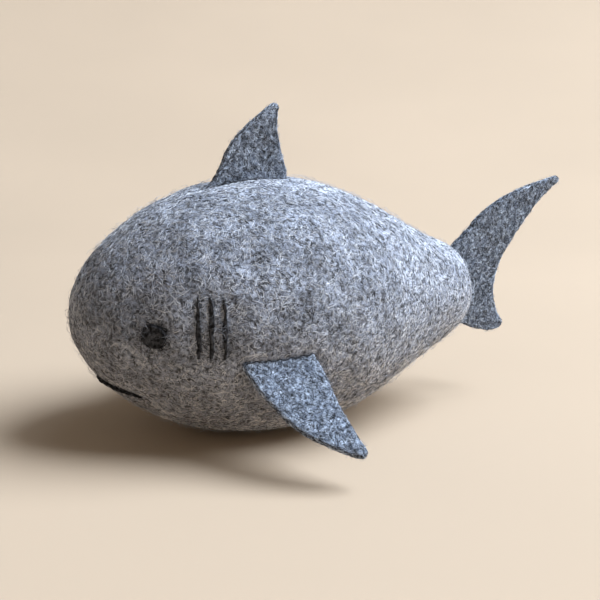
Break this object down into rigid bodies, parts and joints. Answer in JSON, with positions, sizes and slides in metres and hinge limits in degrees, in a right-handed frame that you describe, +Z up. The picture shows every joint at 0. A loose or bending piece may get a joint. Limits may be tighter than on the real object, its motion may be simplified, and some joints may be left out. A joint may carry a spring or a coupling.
{
  "type": "plush shark",
  "caption": "Stuffed shark of grey wool felt with a round seamless body, flexible felt-sheet fins and tail, and felted black eyes, gills and mouth.",
  "frame": {"origin": "middle of the flat patch under the belly that the shark rests on", "axes": "+Z up, -Y towards the snout and +Y towards the tail, +X to the shark's own left"},
  "size_m": [0.191, 0.2561, 0.1459],
  "materials": {
    "body_felt": "matt, mottled wool felt with loose fibres",
    "fin_felt": "matt wool felt sheet with cut edges",
    "black_wool": "matt felted wool",
    "thread": "matt sewing thread",
    "stuffing_wool": "loose core wool"
  },
  "bodies": {
    "torso": {"body_shell": "body_felt", "stuffing_core": "stuffing_wool", "dorsal_fin_root": "fin_felt", "tail_fin_root": "fin_felt", "left_pectoral_root": "fin_felt", "right_pectoral_root": "fin_felt", "dorsal_stitches": "thread", "tail_stitches": "thread", "left_pectoral_stitches": "thread", "right_pectoral_stitches": "thread", "left_eye": "black_wool", "right_eye": "black_wool", "left_gill_1": "black_wool", "left_gill_2": "black_wool", "left_gill_3": "black_wool", "right_gill_1": "black_wool", "right_gill_2": "black_wool", "right_gill_3": "black_wool", "mouth_line": "black_wool"},
    "dorsal_blade": {"dorsal_fin": "fin_felt"},
    "tail_blade": {"tail_fin": "fin_felt"},
    "left_pectoral_blade": {"left_pectoral_fin": "fin_felt"},
    "right_pectoral_blade": {"right_pectoral_fin": "fin_felt"}
  },
  "joints": [
    {"name": "dorsal_sway", "type": "hinge", "parent": "torso", "child": "dorsal_blade", "pos_m": [0, 0, 0.1174], "axis": [0, 1, 0], "range_deg": [-30, 30], "stiffness_Nm_per_rad": 0.02},
    {"name": "tail_wag", "type": "hinge", "parent": "torso", "child": "tail_blade", "pos_m": [0, 0.1145, 0.0557], "axis": [0, 0, 1], "range_deg": [-35, 35], "stiffness_Nm_per_rad": 0.02},
    {"name": "left_pectoral_flap", "type": "hinge", "parent": "torso", "child": "left_pectoral_blade", "pos_m": [0.05826, -0.01912, 0.03977], "axis": [-0.1811, -0.9815, -0.0626], "range_deg": [-20, 45], "stiffness_Nm_per_rad": 0.02},
    {"name": "right_pectoral_flap", "type": "hinge", "parent": "torso", "child": "right_pectoral_blade", "pos_m": [-0.05826, -0.01912, 0.03977], "axis": [-0.1811, 0.9815, 0.0626], "range_deg": [-20, 45], "stiffness_Nm_per_rad": 0.02}
  ]
}
